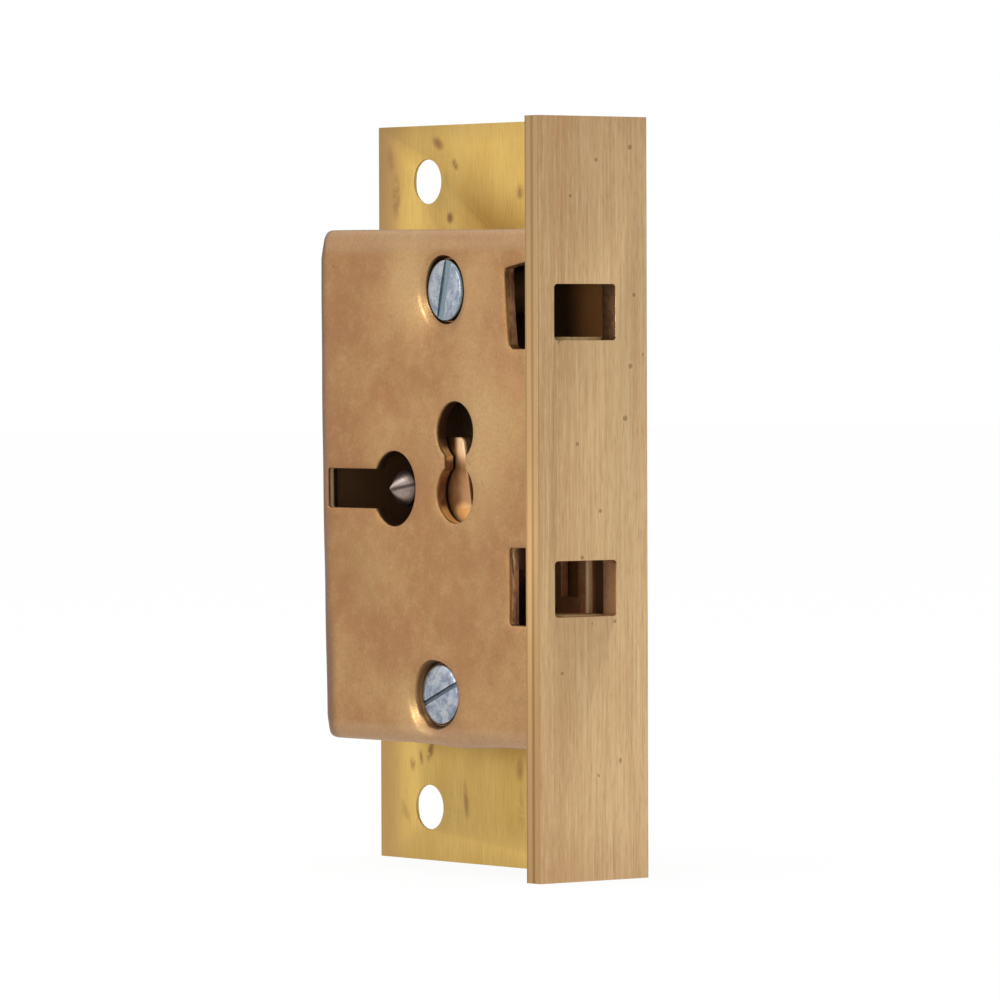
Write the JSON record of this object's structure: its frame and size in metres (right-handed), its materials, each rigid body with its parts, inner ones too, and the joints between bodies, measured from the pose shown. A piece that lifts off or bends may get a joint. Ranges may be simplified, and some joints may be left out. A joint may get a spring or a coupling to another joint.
{
  "type": "box lock",
  "caption": "Brass lever box lock with a cased bolt mechanism, keyhole with drill pin, and a selvedge with mortises for link plate hooks.",
  "frame": {"origin": "on the drill pin's axis, at the front face of the back plate", "axes": "+X out of the selvedge towards the link plate, -Y out of the cap along the drill pin towards the key, +Z along the lock's length, up in the picture, the way the bolt is thrown"},
  "size_m": [0.042, 0.0139, 0.076],
  "materials": {
    "cap_brass": "satin",
    "plate_brass": "satin",
    "selvedge_brass": "brushed",
    "bolt_brass": "satin",
    "lever_brass": "satin",
    "spring_brass": "satin",
    "post_brass": "satin",
    "pin_steel": "turned",
    "screw_zinc": "zinc plated"
  },
  "bodies": {
    "case": {"selvedge": "selvedge_brass", "back_plate": "plate_brass", "cap": "cap_brass", "drill_pin": "pin_steel", "upper_pillar": "post_brass", "lower_pillar": "post_brass", "cap_screw_upper": "screw_zinc", "cap_screw_lower": "screw_zinc", "guide_stud_upper": "post_brass", "guide_stud_lower": "post_brass", "lever_spacer": "post_brass", "lever_washer": "post_brass", "lever_stop": "post_brass"},
    "bolt": {"bolt_plate": "bolt_brass", "bolt_head_upper": "bolt_brass", "bolt_head_lower": "bolt_brass", "bolt_rivets": "bolt_brass", "bolt_stump": "bolt_brass"},
    "front_lever_body": {"front_lever": "lever_brass", "front_lever_spring": "spring_brass"},
    "rear_lever_body": {"rear_lever": "lever_brass", "rear_lever_spring": "spring_brass"}
  },
  "joints": [
    {"name": "bolt_throw", "type": "slide", "parent": "case", "child": "bolt", "axis": [0, 0, 1], "range_m": [0, 0.0063]},
    {"name": "front_lever_lift", "type": "hinge", "parent": "case", "child": "front_lever_body", "pos_m": [0.0066, 0, -0.0207], "axis": [0, 1, 0], "range_deg": [0, 4], "stiffness_Nm_per_rad": 0.01, "springref_deg": -11.46, "deforming": ["front_lever_spring"]},
    {"name": "rear_lever_lift", "type": "hinge", "parent": "case", "child": "rear_lever_body", "pos_m": [0.0066, 0, -0.0207], "axis": [0, 1, 0], "range_deg": [0, 4], "stiffness_Nm_per_rad": 0.01, "springref_deg": -11.46, "deforming": ["rear_lever_spring"]}
  ],
  "couplings": [
    {"joint": "front_lever_lift", "follows": "bolt_throw", "rad_per_m": 11},
    {"joint": "rear_lever_lift", "follows": "bolt_throw", "rad_per_m": 11}
  ]
}
